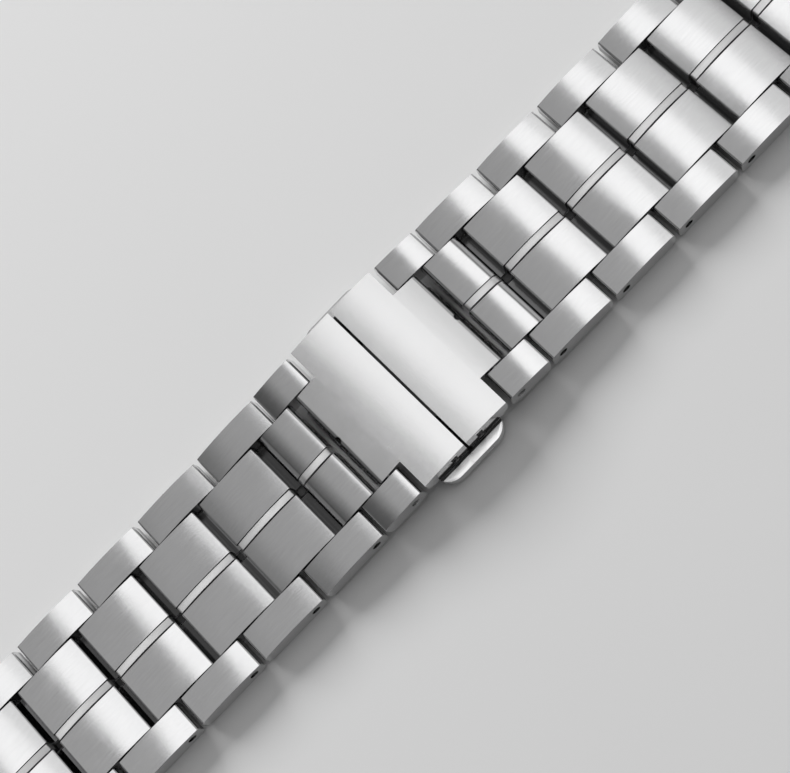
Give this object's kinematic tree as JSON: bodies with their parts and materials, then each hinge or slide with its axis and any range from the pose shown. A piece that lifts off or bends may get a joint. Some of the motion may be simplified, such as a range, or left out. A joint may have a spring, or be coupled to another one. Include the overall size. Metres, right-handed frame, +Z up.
{
  "type": "steel watch bracelet",
  "caption": "Steel wrist band of brushed link rows with a polished centre strip, a butterfly folding clasp with side push buttons, and spring bars at both ends.",
  "frame": {"origin": "under the middle of the closed clasp, at the height of the table the band lies on", "axes": "+X along the band towards strand b, +Y across the band, +Z up out of the clasp covers"},
  "size_m": [0.1328, 0.0226, 0.0049],
  "materials": {
    "brushed_steel": "brushed along the band",
    "satin_steel": "fine satin",
    "polished_steel": "mirror polished",
    "pin_steel": "drawn wire, satin",
    "spring_steel": "plain drawn"
  },
  "bodies": {
    "clasp_centre": {"centre_plate": "polished_steel", "lock_block": "polished_steel", "plate_hinge_pins": "pin_steel", "button_spring": "spring_steel"},
    "blade_a": {"blade_a": "polished_steel"},
    "cover_a": {"cover_a": "satin_steel", "cover_pin_a": "pin_steel"},
    "short_row_a": {"short_outer_links_a": "brushed_steel", "short_middle_link_a": "brushed_steel", "short_link_pins_a": "pin_steel"},
    "row_a1": {"outer_links_a1": "brushed_steel", "middle_link_a1": "brushed_steel", "link_pins_a1": "pin_steel"},
    "row_a2": {"outer_links_a2": "brushed_steel", "middle_link_a2": "brushed_steel", "link_pins_a2": "pin_steel"},
    "row_a3": {"outer_links_a3": "brushed_steel", "middle_link_a3": "brushed_steel", "link_pins_a3": "pin_steel"},
    "row_a4": {"outer_links_a4": "brushed_steel", "middle_link_a4": "brushed_steel", "link_pins_a4": "pin_steel"},
    "row_a5": {"outer_links_a5": "brushed_steel", "middle_link_a5": "brushed_steel", "link_pins_a5": "pin_steel"},
    "end_a": {"end_link_a": "brushed_steel", "end_link_pin_a": "pin_steel", "spring_bar_a": "pin_steel", "bar_spring_a": "spring_steel"},
    "bar_tip_a_left": {"bar_tip_a_left": "polished_steel"},
    "bar_tip_a_right": {"bar_tip_a_right": "polished_steel"},
    "blade_b": {"blade_b": "polished_steel"},
    "cover_b": {"cover_b": "satin_steel", "cover_pin_b": "pin_steel"},
    "short_row_b": {"short_outer_links_b": "brushed_steel", "short_middle_link_b": "brushed_steel", "short_link_pins_b": "pin_steel"},
    "row_b1": {"outer_links_b1": "brushed_steel", "middle_link_b1": "brushed_steel", "link_pins_b1": "pin_steel"},
    "row_b2": {"outer_links_b2": "brushed_steel", "middle_link_b2": "brushed_steel", "link_pins_b2": "pin_steel"},
    "row_b3": {"outer_links_b3": "brushed_steel", "middle_link_b3": "brushed_steel", "link_pins_b3": "pin_steel"},
    "row_b4": {"outer_links_b4": "brushed_steel", "middle_link_b4": "brushed_steel", "link_pins_b4": "pin_steel"},
    "row_b5": {"outer_links_b5": "brushed_steel", "middle_link_b5": "brushed_steel", "link_pins_b5": "pin_steel"},
    "end_b": {"end_link_b": "brushed_steel", "end_link_pin_b": "pin_steel", "spring_bar_b": "pin_steel", "bar_spring_b": "spring_steel"},
    "bar_tip_b_left": {"bar_tip_b_left": "polished_steel"},
    "bar_tip_b_right": {"bar_tip_b_right": "polished_steel"},
    "push_button_left": {"push_button_left": "polished_steel"},
    "push_button_right": {"push_button_right": "polished_steel"}
  },
  "joints": [
    {"name": "blade_hinge_a", "type": "hinge", "parent": "clasp_centre", "child": "blade_a", "pos_m": [-0.00855, 0, 0.00075], "axis": [0, -1, 0], "range_deg": [0, 150]},
    {"name": "cover_hinge_a", "type": "hinge", "parent": "blade_a", "child": "cover_a", "pos_m": [-0.0018, 0, 0.00285], "axis": [0, -1, 0], "range_deg": [-150, 0]},
    {"name": "short_row_a_hinge", "type": "hinge", "parent": "cover_a", "child": "short_row_a", "pos_m": [-0.0076, 0, 0.00272], "axis": [0, -1, 0], "range_deg": [-10, 16]},
    {"name": "row_a1_hinge", "type": "hinge", "parent": "short_row_a", "child": "row_a1", "pos_m": [-0.01346, 0, 0.00205], "axis": [0, -1, 0], "range_deg": [-10, 30]},
    {"name": "row_a2_hinge", "type": "hinge", "parent": "row_a1", "child": "row_a2", "pos_m": [-0.02245, 0, 0.0015], "axis": [0, -1, 0], "range_deg": [-10, 30]},
    {"name": "row_a3_hinge", "type": "hinge", "parent": "row_a2", "child": "row_a3", "pos_m": [-0.03145, 0, 0.0015], "axis": [0, -1, 0], "range_deg": [-10, 30]},
    {"name": "row_a4_hinge", "type": "hinge", "parent": "row_a3", "child": "row_a4", "pos_m": [-0.04045, 0, 0.0015], "axis": [0, -1, 0], "range_deg": [-10, 30]},
    {"name": "row_a5_hinge", "type": "hinge", "parent": "row_a4", "child": "row_a5", "pos_m": [-0.04945, 0, 0.0015], "axis": [0, -1, 0], "range_deg": [-10, 30]},
    {"name": "end_a_hinge", "type": "hinge", "parent": "row_a5", "child": "end_a", "pos_m": [-0.05845, 0, 0.0015], "axis": [0, -1, 0], "range_deg": [-10, 30]},
    {"name": "bar_tip_a_left_slide", "type": "slide", "parent": "end_a", "child": "bar_tip_a_left", "axis": [0, -1, 0], "range_m": [0, 0.0009], "stiffness_N_per_m": 400, "springref_m": -0.001, "deforming": ["bar_spring_a"]},
    {"name": "bar_tip_a_right_slide", "type": "slide", "parent": "end_a", "child": "bar_tip_a_right", "axis": [0, 1, 0], "range_m": [0, 0.0009], "stiffness_N_per_m": 400, "springref_m": -0.001},
    {"name": "blade_hinge_b", "type": "hinge", "parent": "clasp_centre", "child": "blade_b", "pos_m": [0.00855, 0, 0.00075], "axis": [0, 1, 0], "range_deg": [0, 150]},
    {"name": "cover_hinge_b", "type": "hinge", "parent": "blade_b", "child": "cover_b", "pos_m": [0.0018, 0, 0.00285], "axis": [0, 1, 0], "range_deg": [-150, 0]},
    {"name": "short_row_b_hinge", "type": "hinge", "parent": "cover_b", "child": "short_row_b", "pos_m": [0.0076, 0, 0.00272], "axis": [0, 1, 0], "range_deg": [-10, 16]},
    {"name": "row_b1_hinge", "type": "hinge", "parent": "short_row_b", "child": "row_b1", "pos_m": [0.01346, 0, 0.00205], "axis": [0, 1, 0], "range_deg": [-10, 30]},
    {"name": "row_b2_hinge", "type": "hinge", "parent": "row_b1", "child": "row_b2", "pos_m": [0.02245, 0, 0.0015], "axis": [0, 1, 0], "range_deg": [-10, 30]},
    {"name": "row_b3_hinge", "type": "hinge", "parent": "row_b2", "child": "row_b3", "pos_m": [0.03145, 0, 0.0015], "axis": [0, 1, 0], "range_deg": [-10, 30]},
    {"name": "row_b4_hinge", "type": "hinge", "parent": "row_b3", "child": "row_b4", "pos_m": [0.04045, 0, 0.0015], "axis": [0, 1, 0], "range_deg": [-10, 30]},
    {"name": "row_b5_hinge", "type": "hinge", "parent": "row_b4", "child": "row_b5", "pos_m": [0.04945, 0, 0.0015], "axis": [0, 1, 0], "range_deg": [-10, 30]},
    {"name": "end_b_hinge", "type": "hinge", "parent": "row_b5", "child": "end_b", "pos_m": [0.05845, 0, 0.0015], "axis": [0, 1, 0], "range_deg": [-10, 30]},
    {"name": "bar_tip_b_left_slide", "type": "slide", "parent": "end_b", "child": "bar_tip_b_left", "axis": [0, -1, 0], "range_m": [0, 0.0009], "stiffness_N_per_m": 400, "springref_m": -0.001, "deforming": ["bar_spring_b"]},
    {"name": "bar_tip_b_right_slide", "type": "slide", "parent": "end_b", "child": "bar_tip_b_right", "axis": [0, 1, 0], "range_m": [0, 0.0009], "stiffness_N_per_m": 400, "springref_m": -0.001},
    {"name": "push_button_left_slide", "type": "slide", "parent": "clasp_centre", "child": "push_button_left", "axis": [0, -1, 0], "range_m": [0, 0.0005], "stiffness_N_per_m": 600, "springref_m": -0.001, "deforming": ["button_spring"]},
    {"name": "push_button_right_slide", "type": "slide", "parent": "clasp_centre", "child": "push_button_right", "axis": [0, 1, 0], "range_m": [0, 0.0005], "stiffness_N_per_m": 600, "springref_m": -0.001}
  ],
  "couplings": [
    {"joint": "cover_hinge_a", "follows": "blade_hinge_a", "ratio": -1},
    {"joint": "cover_hinge_b", "follows": "blade_hinge_b", "ratio": -1}
  ]
}
